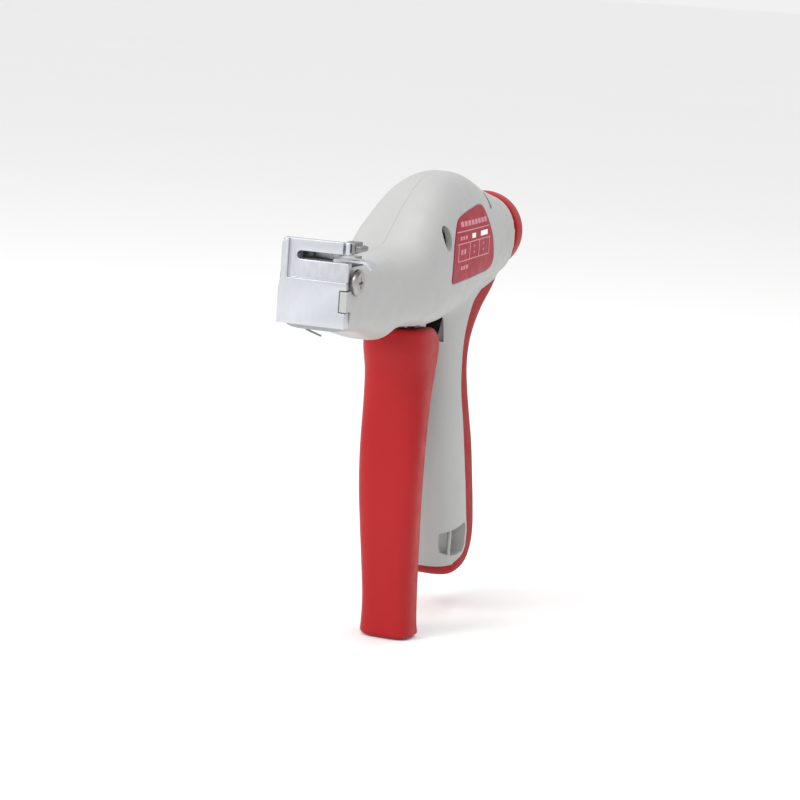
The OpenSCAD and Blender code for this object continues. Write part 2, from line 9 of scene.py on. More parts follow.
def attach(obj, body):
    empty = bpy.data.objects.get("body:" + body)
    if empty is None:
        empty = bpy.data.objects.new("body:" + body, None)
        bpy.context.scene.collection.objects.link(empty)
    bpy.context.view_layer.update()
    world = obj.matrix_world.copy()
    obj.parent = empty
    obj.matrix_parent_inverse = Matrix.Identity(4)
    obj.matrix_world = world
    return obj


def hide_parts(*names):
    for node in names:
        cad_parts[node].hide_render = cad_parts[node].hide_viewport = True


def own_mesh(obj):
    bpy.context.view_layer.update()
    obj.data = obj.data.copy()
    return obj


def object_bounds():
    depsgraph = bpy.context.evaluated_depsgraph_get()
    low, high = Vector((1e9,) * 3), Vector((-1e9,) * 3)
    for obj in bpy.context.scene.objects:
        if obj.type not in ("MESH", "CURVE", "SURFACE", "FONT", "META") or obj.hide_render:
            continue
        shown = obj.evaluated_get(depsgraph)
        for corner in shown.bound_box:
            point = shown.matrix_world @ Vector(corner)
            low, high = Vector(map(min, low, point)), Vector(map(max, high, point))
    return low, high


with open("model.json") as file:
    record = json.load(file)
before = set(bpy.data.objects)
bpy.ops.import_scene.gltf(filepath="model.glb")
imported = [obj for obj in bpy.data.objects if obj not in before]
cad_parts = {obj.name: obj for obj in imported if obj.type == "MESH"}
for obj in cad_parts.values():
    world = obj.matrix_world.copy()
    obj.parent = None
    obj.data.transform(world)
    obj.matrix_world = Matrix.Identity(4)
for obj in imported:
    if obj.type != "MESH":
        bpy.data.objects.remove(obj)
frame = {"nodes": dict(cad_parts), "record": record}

MM = 0.001
cad_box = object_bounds()
nodes = frame["nodes"]

# ---- Camera ----

VIEW_AZIMUTH = math.radians(19)
VIEW_ELEVATION = math.radians(10)
VIEW_ROLL = math.radians(4)
VIEW_DISTANCE = 0.900
VIEW_TARGET = Vector((0, 0.09665, -0.0589))
LENS = 107.3


def make_camera():
    """The camera looks back along `back`, and the roll turns the tool clockwise in the picture."""
    a, e, r = VIEW_AZIMUTH, VIEW_ELEVATION, VIEW_ROLL
    back = Vector((math.sin(a) * math.cos(e), -math.cos(a) * math.cos(e), math.sin(e)))
    level = Vector((math.cos(a), math.sin(a), 0))
    over = back.cross(level)
    right = level * math.cos(r) + over * math.sin(r)
    up = over * math.cos(r) - level * math.sin(r)
    data = bpy.data.cameras.new("camera")
    data.lens = LENS
    data.sensor_width = 36
    data.clip_start = 0.01
    camera = bpy.data.objects.new("camera", data)
    turn = Matrix((right, up, back)).transposed().to_4x4()
    camera.matrix_world = Matrix.Translation(VIEW_TARGET + back * VIEW_DISTANCE) @ turn
    bpy.context.scene.collection.objects.link(camera)
    bpy.context.scene.camera = camera


make_camera()

# ---- Materials ----


def node_material(name, metallic=0.0, roughness=0.5):
    """A material with a Principled shader; gives the material, its node tree and the shader."""
    mat = bpy.data.materials.new(name)
    mat.use_nodes = True
    tree = mat.node_tree
    shader = tree.nodes["Principled BSDF"]
    shader.inputs["Metallic"].default_value = metallic
    shader.inputs["Roughness"].default_value = roughness
    return mat, tree, shader


def noise(tree, scale, detail=3.0, stretch=(1, 1, 1), roughness=0.5):
    """Noise in the object's own metres; scale is in features per metre."""
    place = tree.nodes.new("ShaderNodeTexCoord")
    grow = tree.nodes.new("ShaderNodeMapping")
    grow.inputs["Scale"].default_value = stretch
    tex = tree.nodes.new("ShaderNodeTexNoise")
    tex.inputs["Scale"].default_value = scale
    tex.inputs["Detail"].default_value = detail
    tex.inputs["Roughness"].default_value = roughness
    tree.links.new(place.outputs["Object"], grow.inputs["Vector"])
    tree.links.new(grow.outputs["Vector"], tex.inputs["Vector"])
    return tex.outputs["Fac"]


def spread(tree, value, low, high, start=0.3, end=0.7):
    """Maps a 0..1 value to low..high."""
    ramp = tree.nodes.new("ShaderNodeMapRange")
    ramp.inputs["From Min"].default_value = start
    ramp.inputs["From Max"].default_value = end
    ramp.inputs["To Min"].default_value = low
    ramp.inputs["To Max"].default_value = high
    tree.links.new(value, ramp.inputs["Value"])
    return ramp.outputs["Result"]


def mixed_colour(tree, factor, first, second):
    """Goes from the first colour to the second as factor goes from 0 to 1."""
    mix = tree.nodes.new("ShaderNodeMix")
    mix.data_type = "RGBA"
    mix.inputs[6].default_value = (*first, 1)
    mix.inputs[7].default_value = (*second, 1)
    tree.links.new(factor, mix.inputs[0])
    return mix.outputs[2]


def relief(tree, shader, height, strength, distance, edge=None):
    """A bump on the shader, over edges rounded by `edge` metres."""
    bump = tree.nodes.new("ShaderNodeBump")
    bump.inputs["Strength"].default_value = strength
    bump.inputs["Distance"].default_value = distance
    tree.links.new(height, bump.inputs["Height"])
    if edge:
        soft = tree.nodes.new("ShaderNodeBevel")
        soft.samples = 6
        soft.inputs["Radius"].default_value = edge
        tree.links.new(soft.outputs["Normal"], bump.inputs["Normal"])
    tree.links.new(bump.outputs["Normal"], shader.inputs["Normal"])


def plastic(name, shade, light, roughness, grain=2600, depth=0.00003, edge=0.0004, shine=0.4):
    """Moulded plastic: a fine spark-eroded grain, slight flow marks and uneven gloss."""
    mat, tree, shader = node_material(name, roughness=roughness)
    shader.inputs["Specular IOR Level"].default_value = shine
    flow = noise(tree, 38, 3, (1, 0.5, 0.6))
    colour = mixed_colour(tree, spread(tree, flow, 0, 1), shade, light)
    tree.links.new(colour, shader.inputs["Base Color"])
    gloss = noise(tree, 210, 4)
    tree.links.new(spread(tree, gloss, roughness - 0.06, roughness + 0.07), shader.inputs["Roughness"])
    relief(tree, shader, noise(tree, grain, 2), 0.35, depth, edge)
    return mat


def metal(name, shade, light, roughness, brush=(1, 1, 1), scale=900, edge=0.00025, depth=0.00001):
    """Bare or plated metal with fine brushed lines and cloudy gloss."""
    mat, tree, shader = node_material(name, metallic=1.0, roughness=roughness)
    cloud = noise(tree, 55, 4)
    tree.links.new(mixed_colour(tree, spread(tree, cloud, 0, 1), shade, light), shader.inputs["Base Color"])
    lines = noise(tree, scale, 3, brush)
    tree.links.new(spread(tree, lines, roughness - 0.07, roughness + 0.09), shader.inputs["Roughness"])
    relief(tree, shader, lines, 0.3, depth, edge)
    return mat


# the fine, even surface of the label's film
FILM = {"grain": 900, "depth": 0.000004, "edge": 0.0001}
MATERIALS = {
    "grey_plastic": plastic("grey_plastic", (0.385, 0.39, 0.385), (0.415, 0.42, 0.412), 0.46, edge=0.00025),
    "red_plastic": plastic("red_plastic", (0.345, 0.009, 0.011), (0.375, 0.012, 0.014), 0.44,
                           depth=0.00002, shine=0.2),
    "red_rubber": plastic("red_rubber", (0.29, 0.011, 0.012), (0.32, 0.014, 0.015), 0.66,
                          grain=3400, depth=0.00004, shine=0.18),
    "label_red": plastic("label_red", (0.30, 0.011, 0.026), (0.34, 0.015, 0.032), 0.42, shine=0.12, **FILM),
    "label_print": plastic("label_print", (0.56, 0.20, 0.25), (0.60, 0.24, 0.29), 0.45, shine=0.2, **FILM),
    "label_white": plastic("label_white", (0.88, 0.88, 0.87), (0.92, 0.92, 0.91), 0.35, **FILM),
    "black_plastic": plastic("black_plastic", (0.022, 0.022, 0.024), (0.030, 0.030, 0.032), 0.5),
    "plated_steel": metal("plated_steel", (0.52, 0.535, 0.57), (0.56, 0.575, 0.61), 0.42, (1, 1, 0.3),
                          depth=0.000003),
    "screw_steel": metal("screw_steel", (0.34, 0.32, 0.305), (0.42, 0.40, 0.385), 0.34),
    "steel": metal("steel", (0.40, 0.41, 0.43), (0.50, 0.51, 0.53), 0.36, (1, 0.08, 1)),
    # dark steel; on the gripper carriage the same material is painted shade, standing for the shade inside
    # the nose
    "dark_steel": metal("dark_steel", (0.20, 0.20, 0.205), (0.27, 0.27, 0.275), 0.42, (0.3, 1, 1)),
    "spring_steel": metal("spring_steel", (0.52, 0.53, 0.55), (0.62, 0.63, 0.65), 0.26),
    "brass": metal("brass", (0.62, 0.43, 0.20), (0.72, 0.52, 0.26), 0.30, (1, 0.1, 1)),
    "aluminium": metal("aluminium", (0.66, 0.67, 0.69), (0.74, 0.75, 0.77), 0.33, (1, 0.1, 1)),
}


def use_material(piece, name):
    """Gives the piece one material by name."""
    piece.data.materials.clear()
    piece.data.materials.append(MATERIALS[name])


# ---- Mesh helpers: all sizes in the next sections are in millimetres ----


def new_piece(name, points, faces, material):
    """A mesh object from points in millimetres."""
    mesh = bpy.data.meshes.new(name)
    mesh.from_pydata([Vector(p) * MM for p in points], [], faces)
    mesh.validate()
    piece = bpy.data.objects.new(name, mesh)
    bpy.context.scene.collection.objects.link(piece)
    if material:
        use_material(piece, material)
    return piece


def outward(piece):
    """Turns every face of a closed piece outwards."""
    work = bmesh.new()
    work.from_mesh(piece.data)
    bmesh.ops.recalc_face_normals(work, faces=work.faces)
    work.to_mesh(piece.data)
    work.free()
    return piece


def loft(name, rings, material=None):
    """A closed solid through rings that have the same number of points."""
    count = len(rings[0])
    points = [p for ring in rings for p in ring]
    faces = []
    for i in range(len(rings) - 1):
        for j in range(count):
            k = (j + 1) % count
            faces.append((i * count + j, i * count + k, (i + 1) * count + k, (i + 1) * count + j))
    faces.append(tuple(range(count - 1, -1, -1)))
    faces.append(tuple((len(rings) - 1) * count + j for j in range(count)))
    return outward(new_piece(name, points, faces, material))


def extruded(name, outline, place, low, high, material=None):
    """A flat outline carried from low to high; place(u, v, w) gives the point for outline (u, v)."""
    return loft(name, [[place(u, v, w) for u, v in outline] for w in (low, high)], material)


def across(name, outline, low, high, material=None):
    """An outline in the Y-Z plane, from x = low to x = high."""
    return extruded(name, outline, lambda y, z, x: (x, y, z), low, high, material)


def block(name, low, high, material=None):
    """A box between two corners."""
    return across(name, [(low[1], low[2]), (high[1], low[2]), (high[1], high[2]), (low[1], high[2])],
                  low[0], high[0], material)


def oval(middle, half_u, half_v, sides=64):
    """Points round an oval; a circle when both half widths are the same."""
    turns = (2 * math.pi * k / sides for k in range(sides))
    return [(middle[0] + half_u * math.cos(a), middle[1] + half_v * math.sin(a)) for a in turns]


def rod_x(name, at, radius, low, high):
    """A round bar along X through at = (y, z)."""
    return across(name, oval(at, radius, radius), low, high)


def rod_y(name, radius, low, high):
    """A round bar along Y on the knob's axis."""
    ring = oval((0, KNOB_HEIGHT), radius, radius)
    return loft(name, [[(x, y, z) for x, z in ring] for y in (low, high)])


def applied(piece):
    """Applies the piece's modifiers to its mesh."""
    mesh = bpy.data.meshes.new_from_object(piece.evaluated_get(bpy.context.evaluated_depsgraph_get()))
    piece.modifiers.clear()
    old = piece.data
    mesh.name = old.name
    piece.data = mesh
    bpy.data.meshes.remove(old)
    return piece


def combine(piece, other, how="DIFFERENCE", keep_other=False):
    """piece = piece minus, plus or within other."""
    step = piece.modifiers.new("combine", "BOOLEAN")
    step.operation = how
    step.solver = "MANIFOLD"
    step.object = other
    applied(piece)
    if not keep_other:
        mesh = other.data
        bpy.data.objects.remove(other)
        bpy.data.meshes.remove(mesh)
    return piece


def copied(piece, name):
    """A second object with its own mesh."""
    twin = piece.copy()
    twin.data = piece.data.copy()
    twin.name = name
    bpy.context.scene.collection.objects.link(twin)
    return twin


def soften(piece, sharp_degrees=32):
    """Smooth shading, with edges over the given angle kept sharp."""
    work = bmesh.new()
    work.from_mesh(piece.data)
    bmesh.ops.remove_doubles(work, verts=work.verts, dist=0.000002)
    bmesh.ops.dissolve_degenerate(work, edges=work.edges, dist=0.000002)
    limit = math.radians(sharp_degrees)
    for face in work.faces:
        face.smooth = True
    for edge in work.edges:
        edge.smooth = len(edge.link_faces) == 2 and edge.calc_face_angle(0) < limit
    work.to_mesh(piece.data)
    work.free()
    return piece


# ---- The form of the housing, handle and trigger: the same tables as in the CAD source ----

# distance behind the seat, half width, top, bottom, squareness of the upper half and of the lower half
HEAD = [(3, 12.6, 1, -21.5, 5, 5), (25, 13, 1, -24.5, 4, 4),
        (48, 13.8, 1.3, -30, 2.8, 2.8), (56, 15.2, 1.9, -28.4, 2.5, 2.5),
        (66, 17, 3.6, -27, 2.4, 3), (75, 18, 9, -27.8, 2.4, 3.6),
        (85, 18.6, 15.7, -28.7, 2.3, 3.6), (105, 18.2, 24.8, -28.9, 2.3, 3.4),
        (130, 17.5, 26.1, -27.5, 2.4, 2.8), (155, 16.7, 19.4, -23.8, 2.4, 2.4),
        (180, 15.6, 14.3, -19.5, 2.3, 2.3)]
# height, front, back, half width, for the handle and for the trigger grip
HANDLE = [(-18, 106, 182, 14.2), (-22, 108.5, 174.5, 14.2), (-28, 111, 161.5, 13.8), (-38, 114, 150, 13.1),
          (-48, 115.5, 146.6, 13), (-58, 116, 149.1, 13.2), (-69, 117.5, 153.1, 13.7),
          (-82, 120, 159.6, 13.9), (-96, 124.5, 164.2, 13.9), (-110, 129, 169, 13.7),
          (-121, 132.5, 171, 13.5), (-128, 134.5, 169, 13), (-133.5, 138, 164, 11.5), (-136.5, 143, 158, 8.5)]
GRIP = [(-29.3, 78.5, 92.5, 12.8), (-34, 78, 98.5, 13), (-38, 78.3, 99.6, 13), (-41, 79.5, 99.5, 12.9),
        (-47, 82, 98.5, 12.6), (-58, 83.7, 96, 12.4), (-76, 83.5, 94.5, 12.3), (-90, 84, 95.2, 12),
        (-104, 86.2, 97, 11.5), (-119, 89, 99.8, 10.9), (-136, 92, 103, 10.3), (-146, 93, 104, 10.5),
        (-151, 93, 105, 11)]
HANDLE_SQUARE = 2.6      # squareness of the handle's section
GRIP_SQUARE = 3.6        # squareness of the trigger grip's section
WALL = 2.5               # wall of the housing
PAD_THICK = 2.2
SEAM = 0.02              # half the gap between the two shells
KNOB_HEIGHT = -1         # height of the knob's axis
BODY_INSET = 0.1         # how far the smoothed body stays inside the CAD form
FOOT = -136.3            # height of the handle's foot


def row_of(table, s):
    """The table's row that starts the span around position s."""
    up = 1 if table[1][0] > table[0][0] else -1
    for i in range(len(table) - 2):
        if up * s < up * table[i + 1][0]:
            return i
    return len(table) - 2


def slope(table, c, i):
    """Slope of column c at row i, from the rows beside it."""
    a, b = max(i - 1, 0), min(i + 1, len(table) - 1)
    return (table[b][c] - table[a][c]) / (table[b][0] - table[a][0])


def value(table, c, s):
    """Column c at position s, on a smooth curve through the rows."""
    i = row_of(table, s)
    h = table[i + 1][0] - table[i][0]
    t = (s - table[i][0]) / h
    m, n = slope(table, c, i) * h, slope(table, c, i + 1) * h
    return ((2 * t**3 - 3 * t**2 + 1) * table[i][c] + (t**3 - 2 * t**2 + t) * m
            + (3 * t**2 - 2 * t**3) * table[i + 1][c] + (t**3 - t**2) * n)


def power(v, n):
    """Signed power that makes an oval squarer as n grows."""
    return math.copysign(abs(v) ** (2 / n), v) if abs(v) > 1e-9 else 0.0


def head_ring(y, inset, count=112):
    """Section of the head at distance y, set in by inset."""
    half = value(HEAD, 1, y) - inset
    top, bottom = value(HEAD, 2, y) - inset, value(HEAD, 3, y) + inset
    ring = []
    for k in range(count):
        a = 2 * math.pi * k / count
        n = value(HEAD, 5 if math.sin(a) < 0 else 4, y)
        ring.append((half * power(math.cos(a), n), y,
                     (top + bottom) / 2 + (top - bottom) / 2 * power(math.sin(a), n)))
    return ring


def handle_ring(z, inset_front, inset_back, count=112):
    """Section of the handle at height z; the table stops at -18, and the section stays the same above."""
    row = min(z, HANDLE[0][0])
    front, back = value(HANDLE, 1, row) + inset_front, value(HANDLE, 2, row) - inset_back
    half = value(HANDLE, 3, row) - (inset_front + inset_back) / 2
    middle, reach = (front + back) / 2, (back - front) / 2
    return [(half * power(math.cos(a), HANDLE_SQUARE), middle + reach * power(math.sin(a), HANDLE_SQUARE), z)
            for a in (2 * math.pi * k / count for k in range(count))]


def steps(first, last, size):
    """Even steps from first to last, about size long."""
    n = max(1, round(abs(last - first) / size))
    return [first + (last - first) * k / n for k in range(n + 1)]


def body_form(name, inset, back_inset, front, rear, foot):
    """Head and handle as one closed solid, set in by inset, and by back_inset behind the handle."""
    solid = loft(name, [head_ring(y, inset) for y in steps(front, rear, 2)])
    handle = loft(name + "_handle", [handle_ring(z, inset, back_inset) for z in steps(-9, foot, 1.5)])
    return combine(solid, handle, "UNION")


BODY_GRID = 0.9          # size of the squares that the smoothed body is made of
# the crease between head and handle
CREASE_HEIGHT = -24
CREASE_REACH = 13
CREASE_FROM = 100
CREASE_TO = 178


def blended_body():
    """The outer form, with the crease between head and handle smoothed into a fillet."""
    body = body_form("body", BODY_INSET, BODY_INSET, 1, 180, FOOT + BODY_INSET)
    grid = body.modifiers.new("grid", "REMESH")
    grid.mode = "VOXEL"
    grid.voxel_size = BODY_GRID * MM
    applied(body)
    crease = body.vertex_groups.new(name="crease")
    for v in body.data.vertices:
        y, z = v.co.y / MM, v.co.z / MM
        # full weight near the crease's height, fading out above, below, in front and behind
        below = 1 - min(1, abs(z - CREASE_HEIGHT) / CREASE_REACH)
        along = min(1, max(0, (y - CREASE_FROM) / 8)) * min(1, max(0, (CREASE_TO - y) / 6))
        crease.add([v.index], max(min(1, 1.6 * below) * along, 0.004), "REPLACE")
    smooth = body.modifiers.new("smooth", "SMOOTH")
    smooth.factor = 0.5
    smooth.iterations = 34
    smooth.vertex_group = "crease"
    applied(body)
    even = body.modifiers.new("even", "SMOOTH")
    even.factor = 0.5
    even.iterations = 2
    applied(body)
    return body


# ---- Housing, grip pad and label: places in the middle plane are (y, z) ----

FLOOR_TOP = -129.3       # height of the floor inside the handle
CUT_PAST = 24            # distance from the middle plane that clears both flanks
SCREW_LEFT = (88.4, 4.6)
SCREWS_RIGHT = [(150, -14.3), (130, -74), (139, -104)]
NOSE_SCREW = (6.2, -4.1)
TRIGGER_AXIS = (106, 8)
LABEL = [(92.8, -12.6), (93.2, 0.3), (96.4, 6.2), (100.7, 10.7), (108, 12.4), (115.3, 13.4), (126, 14.6),
         (131.4, 14.4), (134.6, 12.6), (138.9, 7.8), (144.3, 1.7), (147, -4.3), (148.2, -8.2),
         (146.6, -10.6), (142.1, -11.6), (119.2, -12.3)]
# the line on the flank where the pad meets the shell: height, distance
PAD_EDGE = [(-19.9, 143.7), (-23.1, 136.8), (-27.7, 133.3), (-33, 131.3), (-40.7, 130.1), (-51.9, 130.2),
            (-61.8, 131.7), (-74.8, 135.7), (-88, 140), (-100.4, 144.4), (-112, 148.4), (-118, 150.6),
            (-124.6, 150.9)]


def pad_region(name, gap):
    """Everything behind the pad's edge and under the foot, as one prism across the handle."""
    edge = [(159.6, -18), *((value(PAD_EDGE, 1, z), z) for z in steps(-19.9, -124.6, 1.5))]
    outline = [(185, -17.4), *edge, (149.6, -126.8), (147.5, -128.3), (142.3, -130.4), (138.6, -131.4),
               (134, -131.8), (125, -131.8)]
    moved = [(y + gap, z - gap) for y, z in outline]
    return across(name, moved + [(125, -140), (185, -140)], -CUT_PAST, CUT_PAST)


def pad_core(name, inset):
    """What is left of the handle under the pad."""
    rings = [handle_ring(z, -1, inset) for z in steps(-12, -130.8, 2)]
    return loft(name, rings + [handle_ring(-131.9, 0.6, inset + 0.4), handle_ring(-132.9, 1.6, inset + 1)])


def trigger_cavity():
    """The slot in the head's underside and the handle's front that the trigger's arms move in."""
    return combine(block("trigger_slot", (-8.8, 84, -33.5), (8.8, 113, -16)),
                   block("trigger_gap", (-8.8, 100, -38), (8.8, 118, -26)), "UNION")


def label_outline_smooth():
    """The label's corner points, rounded by cutting each corner twice."""
    points = LABEL
    for reach in (1.5, 0.5):
        cut = []
        for i, p in enumerate(points):
            q = points[(i + 1) % len(points)]
            share = min(0.2, reach / math.dist(p, q))
            cut += [(p[0] + share * (q[0] - p[0]), p[1] + share * (q[1] - p[1])),
                    (q[0] + share * (p[0] - q[0]), q[1] + share * (p[1] - q[1]))]
        points = cut
    return points


def make_housing():
    """The soft pad, then the two half shells, all cut from one smoothed body."""
    body = blended_body()
    pad = copied(body, "grip_pad_form")
    combine(pad, pad_region("pad_region", 0), "INTERSECT")
    combine(pad, pad_core("pad_core", PAD_THICK + 0.06))
    use_material(pad, "red_rubber")
    soften(pad)
    pad.name = "soft_grip_pad"
    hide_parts("grip_pad")
    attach(pad, "housing")

    under = pad_region("under_pad", -0.12)
    combine(under, pad_core("core", PAD_THICK))
    combine(body, under)
    combine(body, body_form("cavity", WALL, WALL + PAD_THICK, -2, 177, FLOOR_TOP))
    for side, name in ((1, "left"), (-1, "right")):
        shell = copied(body, name + "_housing_shell")
        half = block("half", (SEAM, -5, -150), (40, 200, 40)) if side > 0 else \
            block("half", (-40, -5, -150), (-SEAM, 200, 40))
        combine(shell, half, "INTERSECT")
        combine(shell, block("front", (-30, -20, -60), (30, 3.05, 40)))
        add_shell_inside(shell, side)
        cut_shell(shell, side)
        use_material(shell, "grey_plastic")
        soften(shell, 28)
        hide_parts(name + "_shell")
        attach(shell, "housing")
    mesh = body.data
    bpy.data.objects.remove(body)
    bpy.data.meshes.remove(mesh)


def side_rod(name, at, radius, side, near, far):
    """A round bar along X on the given side, +1 for the tool's left and -1 for its right."""
    low, high = sorted((side * near, side * far))
    return rod_x(name, at, radius, low, high)


def side_block(name, side, near, far, y0, y1, z0, z1):
    """A box on the given side."""
    low, high = sorted((side * near, side * far))
    return block(name, (low, y0, z0), (high, y1, z1))


def add_shell_inside(shell, side):
    """Posts, bosses and rails inside one half shell."""
    parts = [side_rod("boss", TRIGGER_AXIS, 5.5, side, 8.3, 16),
             side_rod("post", SCREW_LEFT, 5.8, side, SEAM, 11.5),
             side_rod("stub", (78, KNOB_HEIGHT), 4, side, 12, 14.9),
             side_block("rail", side, 11, 14.6, 138, 164, 1.3, 3.3),
             side_block("rail", side, 11, 14.6, 138, 164, -5.3, -3.3)]
    for y, z in SCREWS_RIGHT:
        parts.append(side_rod("post", (y, z), 3.6, side, SEAM, 8.6 if z > -20 else 10.4))
    if side > 0:
        parts.append(block("tab", (9.9, -1.2, -13.8), (12.5, 6, -6.8)))
        wall = block("pocket_wall", (4.3, 130, -129), (11, 151, -110))
        parts.append(combine(wall, loft("within", [handle_ring(z, 0.5, 0.5) for z in steps(-105, -134, 2)]),
                             "INTERSECT"))
    for part in parts:
        combine(shell, part, "UNION")


def cut_shell(shell, side):
    """Openings, recesses and bores of one half shell."""
    cuts = [block("roof", (-9.2, -3, -3.6), (9.2, 32.5, 6)),
            trigger_cavity(),
            rod_y("channel", 2.8, 80.5, 97),
            block("frame_relief", (-9.2, 30, -6), (9.2, 46, -1.7)),
            block("stem_relief", (-6, 30, -6), (6, 46, -0.4)),
            block("link_relief", (-5.6, 44, -6), (5.6, 56, -0.9)),
            block("lever_relief", (-3, 61, -8), (3, 69.5, 1.1)),
            rod_y("flange_relief", 3.8, 68.6, 72.4),
            side_rod("nose_bore", NOSE_SCREW, 2.1, side, 8, 16),
            side_rod("pin_bore", TRIGGER_AXIS, 2.5, side, 8, 13.2)]
    driven, threaded = ([SCREW_LEFT], SCREWS_RIGHT) if side > 0 else (SCREWS_RIGHT, [SCREW_LEFT])
    for at in driven:
        cuts += [oval_recess(at) if side > 0 else side_rod("recess", at, 3.8, side, 6, CUT_PAST),
                 side_rod("clear", at, 2.1, side, 0, 7)]
    cuts += [side_rod("thread", at, 2, side, 0, 7) for at in threaded]
    cuts.append(rod_y("bush_bore", 7, 170, 184))
    if side > 0:
        cuts += [label_seat(), neck_slit(), lanyard_pocket()]
    for cutter in cuts:
        combine(shell, cutter)


def oval_recess(at):
    """The left screw's recess, narrower than it is high."""
    return across("recess", oval(at, 3.4, 4.7), 6, CUT_PAST)


def label_seat():
    """A shallow field that the label lies in."""
    outline = [(121 + (y - 121) * 1.012, 1 + (z - 1) * 1.025) for y, z in label_outline_smooth()]
    seat = across("label_seat", outline, 8, CUT_PAST)
    return combine(seat, loft("under_label", [head_ring(y, 0.22) for y in steps(80, 156, 2)]))


def neck_slit():
    """The narrow slit on the shoulder of the neck."""
    slit = block("slit", (-4, -1.5, -3.5), (4, 1.5, 3.5))
    turn = Matrix.Translation(Vector((13.2, 146.4, 14.9)) * MM) @ Matrix.Rotation(math.radians(-30), 4, "Y")
    slit.data.transform(turn)
    return slit


def lanyard_pocket():
    """Two openings either side of the upright bar."""
    whole = [(134.4, -122), (135.6, -125.2), (138.8, -126.6), (142.6, -126.8), (147.6, -126.2),
             (149.2, -123.8), (148.6, -115.4), (146.6, -113.8), (133.2, -117)]
    pocket = across("pocket", whole, 6.5, CUT_PAST)
    bar = oval((139.4, 9.9), 0.8, 0.8, 32)
    upright = extruded("bar", bar, lambda y, x, z: (x, y, z), -130, -108)
    return combine(pocket, upright)


make_housing()


def flank(y, z, lift):
    """The point of the head's left flank at (y, z), lifted off it."""
    half = value(HEAD, 1, y)
    top, bottom = value(HEAD, 2, y), value(HEAD, 3, y)
    n = value(HEAD, 5 if z < (top + bottom) / 2 else 4, y)
    share = min(0.999, abs((z - (top + bottom) / 2) / ((top - bottom) / 2)))
    return (half * (1 - share**n) ** (1 / n) + lift, y, z)


def make_label():
    """The label's film, cut from a thin layer of the head's flank."""
    label = across("setting_label", label_outline_smooth(), 8, CUT_PAST, "label_red")
    combine(label, loft("over", [head_ring(y, -0.1) for y in steps(80, 156, 1.5)]), "INTERSECT")
    combine(label, loft("under", [head_ring(y, 0.18) for y in steps(80, 156, 1.5)]))
    soften(label, 40)
    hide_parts("label_plate")
    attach(label, "housing")


make_label()

# ---- Label print: generic lines, a dot and a bar ----


def print_patch(y0, y1, z0, z1):
    """Points and faces of a thin strip on the label."""
    columns = steps(y0, y1, 2)
    rows = steps(z0, z1, 1.5)
    points, faces = [], []
    for lift in (0.0, 0.16):
        for y in columns:
            for z in rows:
                points.append(flank(y, z, lift))
    n, m = len(rows), len(columns)
    layer = n * m
    for i in range(m - 1):
        for j in range(n - 1):
            a, b, c, d = i * n + j, (i + 1) * n + j, (i + 1) * n + j + 1, i * n + j + 1
            faces += [(a, b, c, d), (layer + d, layer + c, layer + b, layer + a)]
    rim = [i * n for i in range(m)] + [(m - 1) * n + j for j in range(1, n)]
    rim += [i * n + n - 1 for i in range(m - 2, -1, -1)] + [j for j in range(n - 2, 0, -1)]
    for i, a in enumerate(rim):
        b = rim[(i + 1) % len(rim)]
        faces.append((b, a, layer + a, layer + b))
    return points, faces


def printed(name, patches, material):
    """One piece from several patches of print."""
    points, faces = [], []
    for patch in patches:
        more_points, more_faces = print_patch(*patch)
        faces += [tuple(len(points) + v for v in face) for face in more_faces]
        points += more_points
    piece = outward(new_piece(name, points, faces, material))
    soften(piece, 40)
    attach(piece, "housing")
    return piece


def make_print():
    """Three long lines with boxes between them, rows of small bars, a dot and a bright bar."""
    line = 0.45
    patches = [(97.4, 138, 6.0, 6.0 + line), (97, 140, 1.5, 1.5 + line), (98, 139.6, -5, -5 + line)]
    # the boxes' upright lines
    patches += [(y, y + 0.8, -5, 1.5) for y in (98, 112.4, 124.8, 138.8)]
    # the heading
    patches += [(102.4 + 4.2 * k, 105.6 + 4.2 * k, 7.9, 9.8) for k in range(8)]
    # marks in the boxes
    patches += [(y, y + 1.3, z, z + 0.8) for y in (118, 130.6) for z in (-2.9, -0.6)]
    patches += [(y, y + 2.4, -2.4, -0.4) for y in (101.5, 105.3)]
    # the short rows above and below the boxes
    patches += [(100.4 + 3.2 * k, 102.6 + 3.2 * k, 3.1, 4.5) for k in range(3)]
    patches += [(102.4 + 3.4 * k, 104.8 + 3.4 * k, -8.2, -6.7) for k in range(3)]
    printed("label_print_lines", patches, "label_print")
    printed("label_print_marks", [(115.2, 119.8, 2.9, 4.7), (126.6, 136, 2.9, 4.8)], "label_white")


make_print()

# ---- Trigger grip ----


def grip_ring(z, inset, past_back=0.0, count=72):
    """D-shaped section of the trigger grip, flat at the back or carried past it."""
    front, back, half = value(GRIP, 1, z) + inset, value(GRIP, 2, z), value(GRIP, 3, z) - inset
    depth = back - front
    arc = [(half * power(math.cos(a), GRIP_SQUARE), back - depth * power(math.sin(a), GRIP_SQUARE), z)
           for a in (math.pi * k / count for k in range(count + 1))]
    if past_back:
        return [(half, back + past_back, z), *arc, (-half, back + past_back, z)]
    return arc


def rounded_ends(top, foot, radius, size):
    """Heights, each with its inset, of a solid whose two ends are rounded; size is the step between."""
    quarter = [(radius * (1 - math.cos(t)), radius * (1 - math.sin(t))) for t in
               (math.pi / 2 * k / 6 for k in range(7))]
    rows = [(top - drop, inset) for drop, inset in quarter]
    rows += [(z, 0) for z in steps(top - radius, foot + radius, size)[1:-1]]
    return rows + [(foot + drop, inset) for drop, inset in reversed(quarter)]


TRIGGER_WALL = 2.6
TRIGGER_TOP = GRIP[0][0] - 0.1
TRIGGER_FOOT = -150.95
TRIGGER_ROUND = 1.8      # rounding of the moulding's two ends
RIB_TOPS = (-52, -80, -106, -128)


